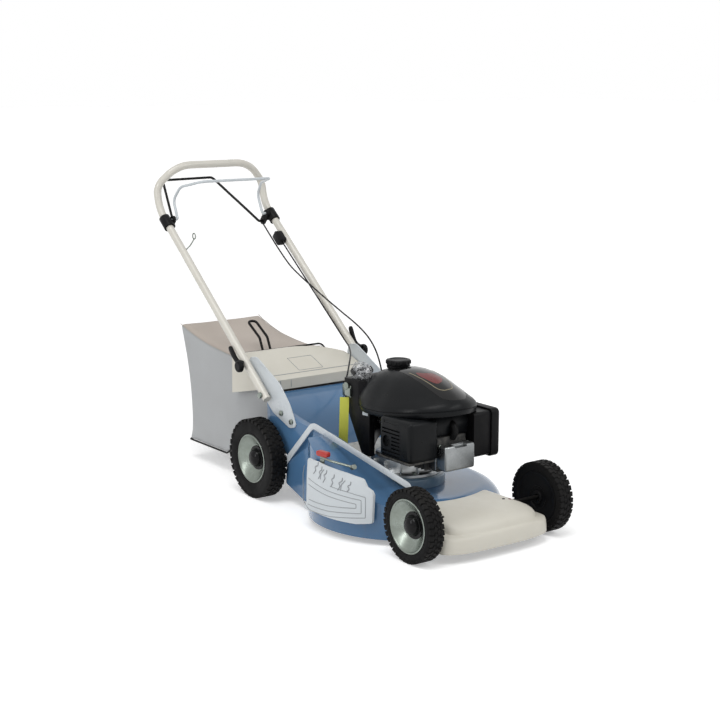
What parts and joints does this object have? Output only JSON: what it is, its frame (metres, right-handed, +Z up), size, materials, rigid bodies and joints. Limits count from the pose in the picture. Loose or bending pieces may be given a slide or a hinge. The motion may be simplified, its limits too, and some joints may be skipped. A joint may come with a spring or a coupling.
{
  "type": "push lawn mower",
  "caption": "Walk-behind rotary lawn mower with a petrol engine on a steel deck, grass bag, folding tube handle with two control bails and one-lever height adjustment.",
  "frame": {"origin": "on the ground below the middle of the whole mower", "axes": "+X forward, +Y to the operator's left, +Z up"},
  "size_m": [1.653, 0.581, 0.9875],
  "materials": {
    "blue_paint": "gloss",
    "grey_blue_paint": "gloss",
    "cream_plastic": "satin",
    "cream_paint": "gloss",
    "white_plastic": "satin",
    "bracket_paint": "satin",
    "zinc_steel": "zinc plated",
    "bare_steel": "machined",
    "engine_black": "satin",
    "black_plastic": "satin",
    "dark_metal": "matt",
    "dark_casting": "matt",
    "cast_aluminium": "cast",
    "tyre": "matt",
    "belt_rubber": "matt",
    "red_plastic": "satin",
    "black_paint": "gloss",
    "cable_skin": "satin",
    "grip_plastic": "satin",
    "bag_cloth": "woven"
  },
  "bodies": {
    "chassis": {"deck_shell": "blue_paint", "engine_ring": "grey_blue_paint", "front_cowl": "cream_plastic", "belt_cover": "blue_paint", "height_panel": "white_plastic", "handle_brackets": "bracket_paint", "deck_fasteners": "zinc_steel", "crankcase": "dark_casting", "valve_cover": "cast_aluminium", "muffler": "dark_metal", "muffler_guard": "engine_black", "air_cleaner_case": "black_plastic", "air_cleaner_cover": "black_plastic", "spark_plug_cap": "belt_rubber", "fan_cover": "engine_black", "fuel_tank": "black_plastic", "control_bracket": "zinc_steel", "drive_belt": "belt_rubber", "starter_rope": "cable_skin"},
    "crank": {"crankshaft": "bare_steel", "flywheel_fan": "cast_aluminium", "engine_pulley": "bare_steel", "blade_holder": "bare_steel", "blade": "dark_metal"},
    "gearbox": {"gearbox_housing": "cast_aluminium"},
    "gearbox_input": {"gearbox_pulley": "bare_steel"},
    "axle_shaft": {"drive_shaft": "bare_steel"},
    "front_crank": {"front_axle": "zinc_steel"},
    "rear_crank": {"rear_axle": "zinc_steel"},
    "link": {"height_link": "cream_paint"},
    "lever": {"height_lever": "zinc_steel", "lever_knob": "red_plastic"},
    "handle": {"handle_tube": "cream_paint", "bail_brackets": "bracket_paint", "rope_guide": "black_paint", "cable_box": "black_plastic", "drive_cable": "cable_skin", "brake_cable": "cable_skin"},
    "cam_right": {"cam_lever_right": "black_plastic"},
    "cam_left": {"cam_lever_left": "black_plastic"},
    "drive_bail_arm": {"drive_bail": "bracket_paint"},
    "brake_bail_arm": {"brake_bail": "black_paint"},
    "flap": {"discharge_flap": "cream_plastic"},
    "bag": {"bag_fabric": "bag_cloth", "bag_frame": "black_paint"},
    "fuel_lid": {"fuel_cap": "black_plastic"},
    "oil_lid": {"oil_cap": "black_plastic"},
    "starter": {"starter_grip": "grip_plastic"},
    "wheel_front_right": {"tyre_front_right": "tyre", "rim_front_right": "zinc_steel", "hub_cap_front_right": "black_plastic"},
    "wheel_front_left": {"tyre_front_left": "tyre", "rim_front_left": "zinc_steel", "hub_cap_front_left": "black_plastic"},
    "wheel_rear_right": {"tyre_rear_right": "tyre", "rim_rear_right": "zinc_steel", "hub_cap_rear_right": "black_plastic"},
    "wheel_rear_left": {"tyre_rear_left": "tyre", "rim_rear_left": "zinc_steel", "hub_cap_rear_left": "black_plastic"}
  },
  "joints": [
    {"name": "engine_spin", "type": "hinge", "parent": "chassis", "child": "crank", "pos_m": [0.3875, 0.0085, 0.102], "axis": [0, 0, 1], "continuous": true},
    {"name": "gearbox_input_spin", "type": "hinge", "parent": "gearbox", "child": "gearbox_input", "pos_m": [-0.0135, 0.1205, 0.152], "axis": [0, 0, 1], "continuous": true},
    {"name": "axle_shaft_spin", "type": "hinge", "parent": "rear_crank", "child": "axle_shaft", "pos_m": [-0.0475, 0.0085, 0.123], "axis": [0, 1, 0], "continuous": true},
    {"name": "height_lever_turn", "type": "hinge", "parent": "chassis", "child": "lever", "pos_m": [0.3605, -0.2735, 0.064], "axis": [-0.1392, 0.9903, 0], "range_deg": [0, 33], "deforming": ["drive_belt"]},
    {"name": "front_crank_turn", "type": "hinge", "parent": "chassis", "child": "front_crank", "pos_m": [0.6805, 0.0085, 0.082], "axis": [0, 1, 0], "range_deg": [0, 58]},
    {"name": "rear_crank_turn", "type": "hinge", "parent": "chassis", "child": "rear_crank", "pos_m": [0.0105, 0.0085, 0.119], "axis": [0, 1, 0], "range_deg": [-50, 0]},
    {"name": "link_turn", "type": "hinge", "parent": "rear_crank", "child": "link", "pos_m": [-0.0025, -0.1895, 0.066], "axis": [0, 1, 0], "range_deg": [0, 52.1]},
    {"name": "gearbox_level", "type": "hinge", "parent": "rear_crank", "child": "gearbox", "pos_m": [-0.0475, 0.1205, 0.123], "axis": [0, 1, 0], "range_deg": [0, 50]},
    {"name": "front_right_wheel_spin", "type": "hinge", "parent": "front_crank", "child": "wheel_front_right", "pos_m": [0.7225, -0.224, 0.102], "axis": [0, 1, 0], "continuous": true},
    {"name": "front_left_wheel_spin", "type": "hinge", "parent": "front_crank", "child": "wheel_front_left", "pos_m": [0.7225, 0.241, 0.102], "axis": [0, 1, 0], "continuous": true},
    {"name": "rear_right_wheel_spin", "type": "hinge", "parent": "rear_crank", "child": "wheel_rear_right", "pos_m": [-0.0475, -0.222, 0.123], "axis": [0, 1, 0], "continuous": true},
    {"name": "rear_left_wheel_spin", "type": "hinge", "parent": "rear_crank", "child": "wheel_rear_left", "pos_m": [-0.0475, 0.239, 0.123], "axis": [0, 1, 0], "continuous": true},
    {"name": "handle_fold", "type": "hinge", "parent": "chassis", "child": "handle", "pos_m": [-0.0435, 0.0085, 0.317], "axis": [0, 1, 0], "range_deg": [0, 137], "deforming": ["drive_cable", "brake_cable"]},
    {"name": "cam_right_turn", "type": "hinge", "parent": "handle", "child": "cam_right", "pos_m": [-0.13623, -0.1975, 0.39317], "axis": [0, 1, 0], "range_deg": [0, 90]},
    {"name": "cam_left_turn", "type": "hinge", "parent": "handle", "child": "cam_left", "pos_m": [-0.13623, 0.2145, 0.39317], "axis": [0, 1, 0], "range_deg": [0, 90]},
    {"name": "drive_bail_turn", "type": "hinge", "parent": "handle", "child": "drive_bail_arm", "pos_m": [-0.6225, 0.0085, 0.802], "axis": [0, 1, 0], "range_deg": [-38, 0], "stiffness_Nm_per_rad": 0.8, "springref_deg": 22.92},
    {"name": "brake_bail_turn", "type": "hinge", "parent": "handle", "child": "brake_bail_arm", "pos_m": [-0.6455, 0.0085, 0.774], "axis": [0, 1, 0], "range_deg": [0, 38], "stiffness_Nm_per_rad": 0.8, "springref_deg": -22.92},
    {"name": "flap_turn", "type": "hinge", "parent": "chassis", "child": "flap", "pos_m": [-0.0675, 0.0085, 0.328], "axis": [0, 1, 0], "range_deg": [0, 75], "stiffness_Nm_per_rad": 0.6, "springref_deg": -28.65},
    {"name": "bag_slide", "type": "slide", "parent": "chassis", "child": "bag", "axis": [-1, 0, 0], "range_m": [0, 0.25]},
    {"name": "fuel_cap_turn", "type": "hinge", "parent": "chassis", "child": "fuel_lid", "pos_m": [0.3545, 0.0085, 0.457], "axis": [0, 0, 1], "range_deg": [0, 90]},
    {"name": "oil_cap_turn", "type": "hinge", "parent": "chassis", "child": "oil_lid", "pos_m": [0.4045, 0.0945, 0.202], "axis": [0, 0, 1], "range_deg": [0, 120]},
    {"name": "starter_pull", "type": "slide", "parent": "chassis", "child": "starter", "axis": [-0.7727, 0, 0.6347], "range_m": [0, 0.6], "stiffness_N_per_m": 12, "springref_m": -0.4, "deforming": ["starter_rope"]}
  ],
  "couplings": [
    {"joint": "gearbox_input_spin", "follows": "engine_spin", "ratio": 0.66667},
    {"joint": "front_crank_turn", "follows": "height_lever_turn", "ratio": 1.7576},
    {"joint": "rear_crank_turn", "follows": "height_lever_turn", "ratio": -1.5151},
    {"joint": "link_turn", "follows": "height_lever_turn", "ratio": 1.5788},
    {"joint": "gearbox_level", "follows": "height_lever_turn", "ratio": 1.5151}
  ]
}
